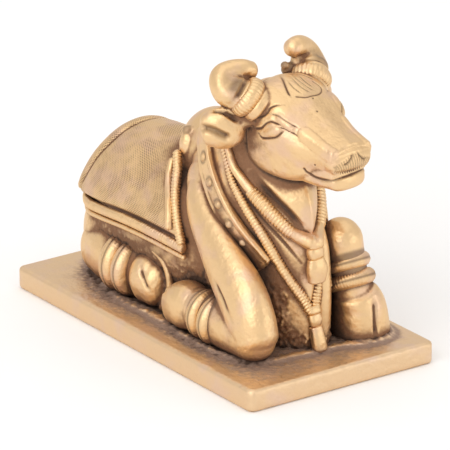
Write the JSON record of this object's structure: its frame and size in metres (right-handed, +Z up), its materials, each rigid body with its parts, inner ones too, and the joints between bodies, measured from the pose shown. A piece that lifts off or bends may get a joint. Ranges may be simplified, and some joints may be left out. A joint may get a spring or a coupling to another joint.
{
  "type": "nandi bull figurine",
  "caption": "Solid cast brass nandi: a garlanded bull lying on a thin rectangular slab, with a saddle cloth, leg rings, curled horns and a marked forehead.",
  "frame": {"origin": "centre of the slab's underside", "axes": "+X along the bull's body towards its chest, +Y to the bull's left, +Z up"},
  "size_m": [0.076, 0.0414, 0.0588],
  "materials": {
    "brass": "antiqued cast brass, polished on the high places and dark brown in the recesses"
  },
  "bodies": {
    "root": {"nandi_bull_figure": "brass"}
  },
  "joints": []
}
